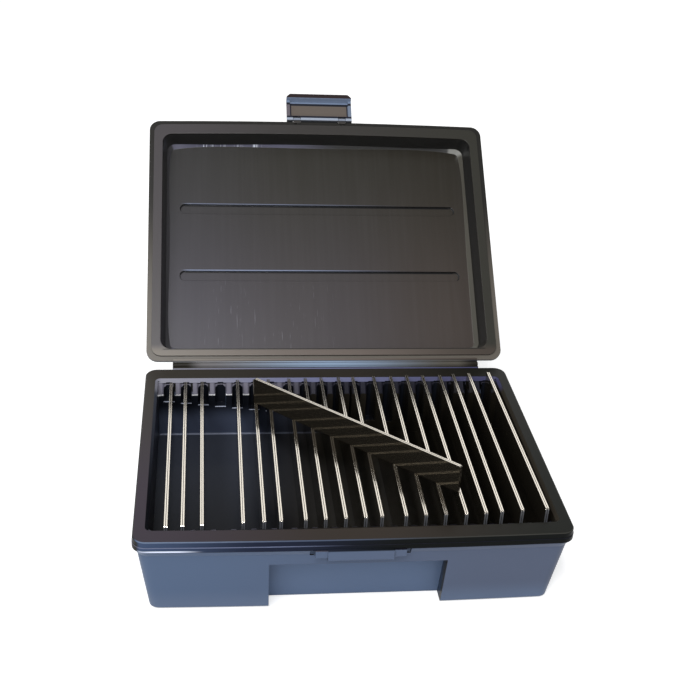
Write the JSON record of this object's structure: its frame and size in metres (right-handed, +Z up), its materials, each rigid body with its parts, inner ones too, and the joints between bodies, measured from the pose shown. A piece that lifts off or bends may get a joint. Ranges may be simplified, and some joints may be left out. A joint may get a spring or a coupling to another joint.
{
  "type": "parallels set",
  "caption": "matched pairs of thin steel parallels in rising heights, on edge in a slotted black plastic case with hinged lid and front latch, one pair lying across the rest",
  "frame": {"origin": "middle of the flat face the case stands on", "axes": "X to the right along the latch side, Y to the hinge side, Z up; lid open at its stop, one pair lying across the others"},
  "size_m": [0.242, 0.3506, 0.1918],
  "materials": {
    "case_plastic": "glossy, scuffed inside the lid",
    "ground_steel": "ground"
  },
  "bodies": {
    "case_base": {"case_base": "case_plastic"},
    "case_lid": {"case_lid": "case_plastic"},
    "latch": {"latch": "case_plastic"},
    "parallel_01_a": {"parallel_01_a": "ground_steel"},
    "parallel_01_b": {"parallel_01_b": "ground_steel"},
    "parallel_02_a": {"parallel_02_a": "ground_steel"},
    "parallel_02_b": {"parallel_02_b": "ground_steel"},
    "parallel_03_a": {"parallel_03_a": "ground_steel"},
    "parallel_03_b": {"parallel_03_b": "ground_steel"},
    "parallel_04_a": {"parallel_04_a": "ground_steel"},
    "parallel_04_b": {"parallel_04_b": "ground_steel"},
    "parallel_05_a": {"parallel_05_a": "ground_steel"},
    "parallel_05_b": {"parallel_05_b": "ground_steel"},
    "parallel_06_a": {"parallel_06_a": "ground_steel"},
    "parallel_06_b": {"parallel_06_b": "ground_steel"},
    "parallel_07_a": {"parallel_07_a": "ground_steel"},
    "parallel_07_b": {"parallel_07_b": "ground_steel"},
    "parallel_08_a": {"parallel_08_a": "ground_steel"},
    "parallel_08_b": {"parallel_08_b": "ground_steel"},
    "parallel_09_a": {"parallel_09_a": "ground_steel"},
    "parallel_09_b": {"parallel_09_b": "ground_steel"},
    "parallel_10_a": {"parallel_10_a": "ground_steel"},
    "parallel_10_b": {"parallel_10_b": "ground_steel"},
    "parallel_11_a": {"parallel_11_a": "ground_steel"},
    "parallel_11_b": {"parallel_11_b": "ground_steel"},
    "parallel_12_a": {"parallel_12_a": "ground_steel"},
    "parallel_12_b": {"parallel_12_b": "ground_steel"},
    "parallel_13_a": {"parallel_13_a": "ground_steel"},
    "parallel_13_b": {"parallel_13_b": "ground_steel"},
    "parallel_14_a": {"parallel_14_a": "ground_steel"},
    "parallel_14_b": {"parallel_14_b": "ground_steel"},
    "parallel_15_a": {"parallel_15_a": "ground_steel"},
    "parallel_15_b": {"parallel_15_b": "ground_steel"},
    "parallel_16_a": {"parallel_16_a": "ground_steel"},
    "parallel_16_b": {"parallel_16_b": "ground_steel"},
    "parallel_17_a": {"parallel_17_a": "ground_steel"},
    "parallel_17_b": {"parallel_17_b": "ground_steel"},
    "parallel_18_a": {"parallel_18_a": "ground_steel"},
    "parallel_18_b": {"parallel_18_b": "ground_steel"},
    "parallel_19_a": {"parallel_19_a": "ground_steel"},
    "parallel_19_b": {"parallel_19_b": "ground_steel"},
    "parallel_20_a": {"parallel_20_a": "ground_steel"},
    "parallel_20_b": {"parallel_20_b": "ground_steel"}
  },
  "joints": [
    {"name": "lid_hinge", "type": "hinge", "parent": "case_base", "child": "case_lid", "pos_m": [0, 0.09505, 0.0525], "axis": [-1, 0, 0], "range_deg": [-135, 0]},
    {"name": "latch_pivot", "type": "hinge", "parent": "case_lid", "child": "latch", "pos_m": [0.0014, 0.23995, 0.17603], "axis": [1, 0, 0], "range_deg": [0, 90]},
    {"name": "parallel_01_a_lift", "type": "slide", "parent": "case_base", "child": "parallel_01_a", "axis": [0, 0, 1], "range_m": [0, 0.0157]},
    {"name": "parallel_01_b_lift", "type": "slide", "parent": "case_base", "child": "parallel_01_b", "axis": [0, 0, 1], "range_m": [0, 0.0157]},
    {"name": "parallel_02_a_lift", "type": "slide", "parent": "case_base", "child": "parallel_02_a", "axis": [0, 0, 1], "range_m": [0, 0.0173]},
    {"name": "parallel_02_b_lift", "type": "slide", "parent": "case_base", "child": "parallel_02_b", "axis": [0, 0, 1], "range_m": [0, 0.0173]},
    {"name": "parallel_03_a_lift", "type": "slide", "parent": "case_base", "child": "parallel_03_a", "axis": [0, 0, 1], "range_m": [0, 0.0189]},
    {"name": "parallel_03_b_lift", "type": "slide", "parent": "case_base", "child": "parallel_03_b", "axis": [0, 0, 1], "range_m": [0, 0.0189]},
    {"name": "parallel_04_a_lift", "type": "slide", "parent": "case_base", "child": "parallel_04_a", "axis": [0, 0, 1], "range_m": [0, 0.025]},
    {"name": "parallel_04_b_lift", "type": "slide", "parent": "case_base", "child": "parallel_04_b", "axis": [0, 0, 1], "range_m": [0, 0.025]},
    {"name": "parallel_05_a_lift", "type": "slide", "parent": "case_base", "child": "parallel_05_a", "axis": [0, 0, 1], "range_m": [0, 0.022]},
    {"name": "parallel_05_b_lift", "type": "slide", "parent": "case_base", "child": "parallel_05_b", "axis": [0, 0, 1], "range_m": [0, 0.022]},
    {"name": "parallel_06_a_play", "type": "slide", "parent": "case_base", "child": "parallel_06_a", "axis": [1, 0, 0], "range_m": [-0.00183, 0]},
    {"name": "parallel_06_b_play", "type": "slide", "parent": "case_base", "child": "parallel_06_b", "axis": [1, 0, 0], "range_m": [0, 0.00223]},
    {"name": "parallel_07_a_play", "type": "slide", "parent": "case_base", "child": "parallel_07_a", "axis": [1, 0, 0], "range_m": [-0.00014, 0]},
    {"name": "parallel_07_b_play", "type": "slide", "parent": "case_base", "child": "parallel_07_b", "axis": [1, 0, 0], "range_m": [0, 0.00454]},
    {"name": "parallel_08_a_play", "type": "slide", "parent": "case_base", "child": "parallel_08_a", "axis": [1, 0, 0], "range_m": [-0.00223, 0]},
    {"name": "parallel_08_b_play", "type": "slide", "parent": "case_base", "child": "parallel_08_b", "axis": [1, 0, 0], "range_m": [0, 0.00183]},
    {"name": "parallel_09_a_play", "type": "slide", "parent": "case_base", "child": "parallel_09_a", "axis": [1, 0, 0], "range_m": [-0.00214, 0]},
    {"name": "parallel_09_b_play", "type": "slide", "parent": "case_base", "child": "parallel_09_b", "axis": [1, 0, 0], "range_m": [0, 0.00234]},
    {"name": "parallel_10_a_play", "type": "slide", "parent": "case_base", "child": "parallel_10_a", "axis": [1, 0, 0], "range_m": [-0.00123, 0]},
    {"name": "parallel_10_b_play", "type": "slide", "parent": "case_base", "child": "parallel_10_b", "axis": [1, 0, 0], "range_m": [0, 0.00236]},
    {"name": "parallel_11_a_play", "type": "slide", "parent": "case_base", "child": "parallel_11_a", "axis": [1, 0, 0], "range_m": [-0.00184, 0]},
    {"name": "parallel_11_b_play", "type": "slide", "parent": "case_base", "child": "parallel_11_b", "axis": [1, 0, 0], "range_m": [0, 0.00255]},
    {"name": "parallel_12_a_play", "type": "slide", "parent": "case_base", "child": "parallel_12_a", "axis": [1, 0, 0], "range_m": [-0.00013, 0]},
    {"name": "parallel_12_b_play", "type": "slide", "parent": "case_base", "child": "parallel_12_b", "axis": [1, 0, 0], "range_m": [0, 0.00393]},
    {"name": "parallel_13_a_play", "type": "slide", "parent": "case_base", "child": "parallel_13_a", "axis": [1, 0, 0], "range_m": [-0.00246, 0]},
    {"name": "parallel_13_b_play", "type": "slide", "parent": "case_base", "child": "parallel_13_b", "axis": [1, 0, 0], "range_m": [0, 0.00113]},
    {"name": "parallel_14_a_play", "type": "slide", "parent": "case_base", "child": "parallel_14_a", "axis": [1, 0, 0], "range_m": [-0.00235, 0]},
    {"name": "parallel_14_b_play", "type": "slide", "parent": "case_base", "child": "parallel_14_b", "axis": [1, 0, 0], "range_m": [0, 0.00114]},
    {"name": "parallel_15_a_play", "type": "slide", "parent": "case_base", "child": "parallel_15_a", "axis": [1, 0, 0], "range_m": [-0.00246, 0]},
    {"name": "parallel_15_b_play", "type": "slide", "parent": "case_base", "child": "parallel_15_b", "axis": [1, 0, 0], "range_m": [0, 0.00123]},
    {"name": "parallel_16_a_play", "type": "slide", "parent": "case_base", "child": "parallel_16_a", "axis": [1, 0, 0], "range_m": [-0.00274, 0]},
    {"name": "parallel_16_b_play", "type": "slide", "parent": "case_base", "child": "parallel_16_b", "axis": [1, 0, 0], "range_m": [0, 0.00194]},
    {"name": "parallel_17_a_lift", "type": "slide", "parent": "case_base", "child": "parallel_17_a", "axis": [0, 0, 1], "range_m": [0, 0.0411]},
    {"name": "parallel_17_b_lift", "type": "slide", "parent": "case_base", "child": "parallel_17_b", "axis": [0, 0, 1], "range_m": [0, 0.0411]},
    {"name": "parallel_18_a_lift", "type": "slide", "parent": "case_base", "child": "parallel_18_a", "axis": [0, 0, 1], "range_m": [0, 0.0427]},
    {"name": "parallel_18_b_lift", "type": "slide", "parent": "case_base", "child": "parallel_18_b", "axis": [0, 0, 1], "range_m": [0, 0.0427]},
    {"name": "parallel_19_a_lift", "type": "slide", "parent": "case_base", "child": "parallel_19_a", "axis": [0, 0, 1], "range_m": [0, 0.0443]},
    {"name": "parallel_19_b_lift", "type": "slide", "parent": "case_base", "child": "parallel_19_b", "axis": [0, 0, 1], "range_m": [0, 0.0443]},
    {"name": "parallel_20_a_lift", "type": "slide", "parent": "case_base", "child": "parallel_20_a", "axis": [0, 0, 1], "range_m": [0, 0.0459]},
    {"name": "parallel_20_b_lift", "type": "slide", "parent": "case_base", "child": "parallel_20_b", "axis": [0, 0, 1], "range_m": [0, 0.0459]}
  ]
}
